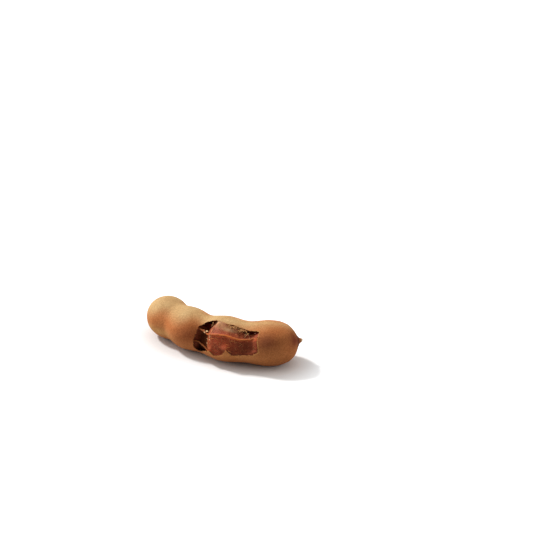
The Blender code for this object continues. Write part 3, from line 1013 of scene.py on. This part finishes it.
def makeStrandTree(material):  # a bundle of thin fibres, twisted round a path
    tree, start, end = newGeometryTree("fibreBundle", {
        "Fibres": 7, "Bundle radius": 0.3, "Fibre radius": 0.12, "Twist": 0.5, "Wobble": 0.25, "Seed": 1.0,
    })
    path = addNode(tree, "GeometryNodeMeshToCurve", {"Mesh": start.outputs["Geometry"]})
    copies = addNode(
        tree, "GeometryNodeDuplicateElements",
        {"Geometry": path, "Amount": start.outputs["Fibres"]}, domain="SPLINE",
    )
    number = copies.outputs["Duplicate Index"]
    length = addNode(tree, "GeometryNodeSplineParameter").outputs["Length"]
    share = mathNode(tree, "DIVIDE", number, start.outputs["Fibres"])
    turned = mathNode(tree, "MULTIPLY", share, math.tau)
    twist = mathNode(tree, "MULTIPLY", length, mathNode(tree, "MULTIPLY", start.outputs["Twist"], 1000.0))
    phase = mathNode(tree, "ADD", turned, twist)
    tangent = addNode(tree, "GeometryNodeInputTangent").outputs[0]
    side = vectorNode(tree, "CROSS_PRODUCT", tangent, (0, 0, 1))
    side = addNode(tree, "ShaderNodeVectorMath", {0: side}, operation="NORMALIZE").outputs[0]
    rise = vectorNode(tree, "CROSS_PRODUCT", side, tangent)
    reach = mathNode(tree, "MULTIPLY", start.outputs["Bundle radius"], mm)
    parts = []
    for axis, wave in ((side, "COSINE"), (rise, "SINE")):
        amount = mathNode(tree, "MULTIPLY", mathNode(tree, wave, phase), reach)
        parts.append(vectorNode(tree, "SCALE", axis, amount))
    ring = vectorNode(tree, "ADD", *parts)
    lane = mathNode(tree, "MULTIPLY_ADD", number, 3.7, start.outputs["Seed"])
    waves = addNode(
        tree, "ShaderNodeTexNoise", {"W": lane, "Scale": 520.0, "Detail": 2.0}, noise_dimensions="4D"
    )
    centred = vectorNode(tree, "SUBTRACT", waves.outputs["Color"], (0.5, 0.5, 0.5))
    wobble = vectorNode(
        tree, "SCALE", centred, mathNode(tree, "MULTIPLY", start.outputs["Wobble"], 2 * mm)
    )
    moved = addNode(
        tree, "GeometryNodeSetPosition",
        {"Geometry": copies.outputs["Geometry"], "Offset": vectorNode(tree, "ADD", ring, wobble)},
    )
    thick = mathNode(tree, "MULTIPLY", start.outputs["Fibre radius"], mm)
    profile = addNode(tree, "GeometryNodeCurvePrimitiveCircle", {"Resolution": 6, "Radius": thick})
    tubes = addNode(
        tree, "GeometryNodeCurveToMesh", {"Curve": moved, "Profile Curve": profile, "Fill Caps": True}
    )
    tree.links.new(coat(tree, tubes, material).outputs[0], end.inputs[0])
    return tree


strandLook = {
    "orange": (0.95, 0.27, 0.055), "dark": (0.72, 0.17, 0.035), "pale": (0.95, 0.46, 0.15),
    # inGap: the strands are painted darker as shade where they cross the waist's gap
    "inGap": (0.5, 0.5, 0.5), "patchSize": 2.5, "grainSize": 0.3, "bumpDepth": 0.00005,
}


def makeStrandMaterial():
    look = strandLook
    material, tree, spots = startMaterial(
        "orangeFibre", look["patchSize"], look["grainSize"], **{"Specular IOR Level": 0.35}
    )
    patches, grain = spots.outputs["Patches"], spots.outputs["Grain"]
    colour = mixColour(tree, softStep(tree, patches, 0.35, 0.62), look["dark"], look["orange"])
    colour = mixColour(tree, softStep(tree, grain, 0.55, 0.72), colour, look["pale"])
    # painted shade in the waist's gap
    colour = mixColour(tree, attribute(tree, "inGap"), colour, look["inGap"], "MULTIPLY")
    return finishMaterial(material, spots, colour, look["bumpDepth"], ("Grain", 0.3, 0.35))


def makeStrands(material):
    form = strandForm
    tree = makeStrandTree(material)
    made = []
    for name, twist in form["twists"].items():
        path, waist = strandPath(name)
        mesh = bpy.data.meshes.new(name)
        mesh.from_pydata(path.tolist(), [(i, i + 1) for i in range(len(path) - 1)], [])
        inGap = mesh.attributes.new("inGap", "FLOAT", "POINT")
        inGap.data.foreach_set("value", waist.astype(np.float32))
        line = link(bpy.data.objects.new(name + "Strand", mesh))
        strand = growNodes(line, tree, {
            "Fibres": form["fibres"], "Bundle radius": form["radius"] - form["fibreRadius"],
            "Fibre radius": form["fibreRadius"], "Twist": twist, "Seed": len(name) + twist * 10,
        })
        strand.data.shade_smooth()
        made.append(strand)
    return made


threadForm = {
    "strewn": (  # colour, number, distances, angles, height, half lengths, most turn, half widths
        ("tan", 7, (66, 74), (16, 60), 0.2, (0.3, 0.9), 9, (0.08, 0.13)),  # a height is over the pulp
        ("cream", 7, (74, 79), (42, 58), 0.3, (0.2, 0.6), 6, (0.09, 0.15)),
        ("orange", 6, (57, 71), (-2, 28), 0.1, (0.7, 1.6), 5, (0.1, 0.14)),
        ("cream", 8, (54.5, 56.5), (2, 32), -0.7, (0.1, 0.3), 5, (0.12, 0.24)),  # below 0, under the skin
        ("tan", 5, (54.5, 57), (5, 74), -0.6, (0.1, 0.4), 7, (0.1, 0.2)),
        ("rust", 3, (47, 51), (40, 46), -1.2, (0.8, 1.6), 3, (0.3, 0.45)),
        ("cream", 2, (50.5, 53), (37, 43), -0.9, (0.7, 1.2), 2, (0.25, 0.4)),
        ("glint", 1, (80.5, 81.5), (55, 59), -1.3, (0.4, 0.6), 3, (0.25, 0.3)),
    ),
    "colours": {
        "rust": (0.55, 0.19, 0.06), "tan": (0.82, 0.4, 0.15), "cream": (0.92, 0.6, 0.3),
        "orange": (0.92, 0.33, 0.09), "glint": (0.55, 0.32, 0.25), "crumb": (1.0, 0.5, 0.19),
    },
    "crumbs": 34,  # they lie under the window's upper rim
    "crumbsBelowRim": 4,  # degrees
    "crumbSpread": 3.2,
    "crumbRun": (0.25, 0.65),
    "crumbWidth": (0.1, 0.27),
    "crumbTurn": 3.5,
    "crumbDepth": (0.15, 0.6),
    "crumbShade": (0.5, 1),
    "tipShares": (0.5, 0.4),  # how wide its two ends are, beside its middle
    "arch": 0.08,
    "sides": 8,
    "flatness": 0.45,
    "roughShare": 0.5,
    "roughSize": 0.5,
    "seed": 7,
}


def thinPiece(at, angle, run, turn, height, half):  # stations of a fibre or crumb that tapers both ways
    first, last = threadForm["tipShares"]
    return (
        (at - run, angle - turn, height, half * first),
        (at, angle, height + threadForm["arch"], half),
        (at + run, angle + turn, height, half * last),
    )


def threadStations():  # every piece with its colour: strewn threads, then crumbs along the upper rim
    form = threadForm
    rng = np.random.default_rng(form["seed"])
    pieces = []
    for kind, count, distances, angles, height, runs, mostTurn, halves in form["strewn"]:
        for _ in range(count):
            at, angle = rng.uniform(*distances), rng.uniform(*angles)
            run, turn, half = rng.uniform(*runs), rng.uniform(-mostTurn, mostTurn), rng.uniform(*halves)
            pieces.append((form["colours"][kind], thinPiece(at, angle, run, turn, height, half)))
    rim = sorted(shellForm["window"][-3:])
    for _ in range(form["crumbs"]):
        at = rng.uniform(rim[0][0], rim[-1][0])
        angle = between(rim, at) - form["crumbsBelowRim"] + rng.normal(0, form["crumbSpread"])
        run, half = rng.uniform(*form["crumbRun"]), rng.uniform(*form["crumbWidth"])
        turn, depth = rng.normal(0, form["crumbTurn"]), rng.uniform(*form["crumbDepth"])
        shade = rng.uniform(*form["crumbShade"])
        tint = tuple(part * shade for part in form["colours"]["crumb"])
        pieces.append((tint, thinPiece(at, angle, run, turn, -depth, half)))
    return pieces


def makeThreads():
    form, sides = threadForm, threadForm["sides"]
    turn = np.linspace(0, math.tau, sides, endpoint=False)
    pulpEdge = insetOutline(pulpForm["inset"], pulpForm["ends"])
    points, faces, tints = [], [], []
    for number, (colour, stations) in enumerate(threadStations()):
        along, angle, height, half = smoothOutline(stations, 0.35).T
        skin = np.interp(along, *skinOutline.T) - dents(podForm["creases"], along, angle)
        onPulp = pulpRadius(along, angle, np.interp(along, *pulpEdge.T))[0]
        radius = np.where(height < 0, skin, onPulp) + height
        path = placeOn(along, angle, radius) / mm
        out = placeOn(along, angle, radius + 1) / mm - path
        ahead = np.gradient(path, axis=0)
        side = np.cross(ahead, out)
        side /= np.linalg.norm(side, axis=1, keepdims=True)
        rough = 1 + form["roughShare"] * roughness3d(path, form["roughSize"], 2, seed=number)[:, None, None]
        across, up = side[:, None] * np.cos(turn)[:, None], out[:, None] * np.sin(turn)[:, None]
        rings = path[:, None] + (across + form["flatness"] * up) * half[:, None, None] * rough
        start = sum(len(part) for part in points)
        tip = ahead[[0, -1]]
        tip = tip / np.linalg.norm(tip, axis=1, keepdims=True) * half[[0, -1]][:, None]
        points.append(np.vstack([path[:1] - tip[:1], rings.reshape(-1, 3), path[-1:] + tip[1:]]))
        faces.append(sphereGrid(len(path) + 2, sides) + start)
        tints.append(np.tile(colour, (len(points[-1]), 1)))
    threads = meshPiece(
        "windowThreads", np.vstack(points) * mm, np.vstack(faces), {"tint": np.vstack(tints)}
    )
    threads.data.shade_smooth()
    threads.data.materials.append(makeThreadMaterial())
    return threads


def makeThreadMaterial():
    material, tree, spots = startMaterial(
        "driedFibre", 1.2, 0.25, **{"Specular IOR Level": 0.2, "Roughness": 0.7}
    )
    colour = stain(tree, spots.outputs["Grain"], 0.5, 0.35, 0.6, tintOf(tree), (0.6, 0.4, 0.3))
    return finishMaterial(material, spots, colour, 0.00005)


fibreMaterial = makeStrandMaterial()
for strand in makeStrands(fibreMaterial):
    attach(strand, "root")
    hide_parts("stalk_and_strands")
threads = makeThreads()
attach(threads, "root")
print("strands ready:", len(threads.data.polygons), "faces of small fibres")


stalkForm = {
    "outline": (
        (-4.1, 0), (-4.4, 0.9), (-4.85, 1.6), (-4.75, 2.15), (-4.1, 2.05), (-3.2, 1.8),
        (-1.4, 2.05), (0.8, 1.9), (3.4, 1.5), (3.5, 0),
    ),
    "step": 0.11,
    "sides": 84,
    "ribs": 7,
    "ribDepth": 0.16,
    "ribTwist": 16,
    "ribWander": (1.7, 0.8),
    "lumpHeight": 0.22,
    "lumpSize": 1.3,
    "grainHeight": 0.07,
    "grainSize": 0.35,
}
stalkLook = {
    # the folds between the ribs are painted dark as shade
    "ridge": (0.44, 0.20, 0.075), "foldShade": (0.13, 0.035, 0.014),
    "patchSize": 1.6, "grainSize": 0.3, "bumpDepth": 0.0001,
}


def makeStalk():
    form = stalkForm
    outline = spread(smoothOutline(form["outline"]), lambda middle: np.full(len(middle), form["step"]))
    along, angle, full = gridPlaces(outline, np.arange(form["sides"]) * 360 / form["sides"])
    pace, swing = form["ribWander"]
    twisted = np.radians(angle * form["ribs"] + along * form["ribTwist"])
    wave = np.cos(twisted + np.sin(along * pace) * swing)
    rib = 0.5 + 0.5 * wave
    points = placeOn(along, angle, full * (1 - form["ribDepth"] * (1 - rib)))
    faces = sphereGrid(len(outline), form["sides"])
    stalk = meshPiece("podStalk", points, faces, {"skinShare": full * 0 + 1, "ribShare": rib})
    stalk.data.shade_smooth()
    return stalk


def makeStalkMaterial():
    look = stalkLook
    material, tree, spots = startMaterial(
        "stalkBark", look["patchSize"], look["grainSize"], **{"Specular IOR Level": 0.25, "Roughness": 0.75}
    )
    patchy = softStep(tree, spots.outputs["Patches"], 0.36, 0.58)
    ridge = mathNode(tree, "MULTIPLY", attribute(tree, "ribShare"), patchy)
    colour = mixColour(tree, ridge.outputs[0], look["foldShade"], look["ridge"])
    return finishMaterial(material, spots, colour, look["bumpDepth"])


stalk = growNodes(makeStalk(), makeReliefTree("stalkRelief", makeStalkMaterial()), reliefOf(stalkForm, 2.0))
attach(stalk, "root")
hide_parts("stalk_and_strands")
print("stalk ready")


litter = {
    "fibresPerMm2": 0.16,
    "fibreLength": 1.3,
    "crumbsPerMm2": 0.6,
    "crumbSize": 0.32,
    "splinterLength": 0.75,
    "splinterShare": 0.55,
}


def randomValue(tree, low, high, seed):
    made = addNode(tree, "FunctionNodeRandomValue", data_type="FLOAT")
    for socket in made.inputs:
        if socket.enabled and socket.name in ("Min", "Max"):
            socket.default_value = low if socket.name == "Min" else high
        if socket.name == "Seed":
            socket.default_value = seed
    return next(s for s in made.outputs if s.enabled)


def randomScale(tree, low, high, seed, size):
    sides = {axis: randomValue(tree, low[axis], high[axis], seed + axis) for axis in range(3)}
    mixed = addNode(tree, "ShaderNodeCombineXYZ", sides)
    return vectorNode(tree, "SCALE", mixed, size)


def makeScatterTree(name, mask, seed, shapeOf, low, high, material):  # small shapes strewn over a surface
    tree, start, end = newGeometryTree(name, {"Per square millimetre": 1.0, "Size": 1.0})
    perMetre = mathNode(tree, "MULTIPLY", start.outputs["Per square millimetre"], 1e6)
    density = mathNode(tree, "MULTIPLY", named(tree, mask), perMetre)
    spots = addNode(
        tree, "GeometryNodeDistributePointsOnFaces",
        {"Mesh": start.outputs["Geometry"], "Density": density, "Seed": seed},
    )
    spin = addNode(tree, "FunctionNodeAxisAngleToRotation", {"Angle": randomValue(tree, 0, math.tau, seed)})
    turned = addNode(
        tree, "FunctionNodeRotateRotation", {0: spots.outputs["Rotation"], 1: spin}, rotation_space="LOCAL"
    )
    size = mathNode(tree, "MULTIPLY", start.outputs["Size"], mm)
    placed = addNode(
        tree, "GeometryNodeInstanceOnPoints",
        {"Points": spots.outputs["Points"], "Instance": shapeOf(tree), "Rotation": turned,
         "Scale": randomScale(tree, low, high, seed + 3, size)},
    )
    tree.links.new(coat(tree, placed, material).outputs[0], end.inputs[0])
    return tree


def fibreShape(tree):  # one bent fibre, 1 long
    bend = addNode(
        tree, "GeometryNodeCurveQuadraticBezier",
        {"Resolution": 6, "Start": (-0.5, 0, 0.01), "Middle": (0, 0.22, 0.14), "End": (0.5, -0.03, 0.05)},
    )
    ring = addNode(tree, "GeometryNodeCurvePrimitiveCircle", {"Resolution": 4, "Radius": 0.045})
    return addNode(
        tree, "GeometryNodeCurveToMesh", {"Curve": bend, "Profile Curve": ring, "Fill Caps": True}
    )


def crumbShape(tree):
    return addNode(tree, "GeometryNodeMeshIcoSphere", {"Radius": 1.0, "Subdivisions": 1}).outputs["Mesh"]


def makeSplinterTree(material):  # thin flakes that stand off the broken edge, over the window
    tree, start, end = newGeometryTree("edgeSplinters", {"Length": 0.8, "Share": 0.5})
    into, out = named(tree, "into", "FLOAT_VECTOR"), named(tree, "out", "FLOAT_VECTOR")
    drift = {axis: randomValue(tree, -0.45, 0.45, 40 + axis) for axis in range(3)}
    aim = vectorNode(tree, "ADD", into, addNode(tree, "ShaderNodeCombineXYZ", drift))
    turned = addNode(
        tree, "FunctionNodeAxesToRotation", {0: aim, 1: out}, primary_axis="Z", secondary_axis="X"
    )
    picked = mathNode(tree, "LESS_THAN", randomValue(tree, 0, 1, 50), start.outputs["Share"])
    points = addNode(tree, "GeometryNodeMeshToPoints", {"Mesh": start.outputs["Geometry"]})
    cone = addNode(
        tree, "GeometryNodeMeshCone",
        {"Vertices": 5, "Radius Top": 0.04, "Radius Bottom": 0.34, "Depth": 1.0, "Side Segments": 2},
    )
    size = mathNode(tree, "MULTIPLY", start.outputs["Length"], mm)
    placed = addNode(
        tree, "GeometryNodeInstanceOnPoints",
        {"Points": points, "Selection": picked, "Instance": cone.outputs["Mesh"], "Rotation": turned,
         "Scale": randomScale(tree, (0.25, 0.4, 0.25), (0.6, 1.1, 1.2), 60, size)},
    )
    tree.links.new(coat(tree, placed, material).outputs[0], end.inputs[0])
    return tree


def makeLitterMaterial(name, first, second):
    material, tree, spots = startMaterial(
        name, 1.2, 0.3, **{"Specular IOR Level": 0.25, "Roughness": 0.7}
    )
    colour = mixColour(tree, softStep(tree, spots.outputs["Patches"], 0.38, 0.6), first, second)
    return finishMaterial(material, spots, colour, 0.00005)


paleFibre = makeLitterMaterial("paleFibre", (0.80, 0.42, 0.17), (0.55, 0.18, 0.05))
shellCrumb = makeLitterMaterial("shellCrumb", (0.75, 0.37, 0.12), (0.42, 0.14, 0.04))
hairs = growNodes(
    pulp,
    makeScatterTree("shortFibres", "showing", 5, fibreShape, (0.5, 0.7, 0.8), (1.5, 1.2, 1.4), paleFibre),
    {"Per square millimetre": litter["fibresPerMm2"], "Size": litter["fibreLength"]}, name="pulpFibres",
)
crumbs = growNodes(
    pulp,
    makeScatterTree(
        "shellCrumbs", "underRim", 8, crumbShape, (0.4, 0.4, 0.25), (1.2, 1.0, 0.7), shellCrumb
    ),
    {"Per square millimetre": litter["crumbsPerMm2"], "Size": litter["crumbSize"]}, name="edgeCrumbs",
)
splinters = growNodes(
    brokenEdge, makeSplinterTree(shellCrumb),
    {"Length": litter["splinterLength"], "Share": litter["splinterShare"]},
)
for piece, slot in ((hairs, "fibre"), (crumbs, "shell"), (splinters, "shell")):
    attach(piece, "root")
print("litter ready:", len(hairs.data.polygons), len(crumbs.data.polygons), len(splinters.data.polygons))
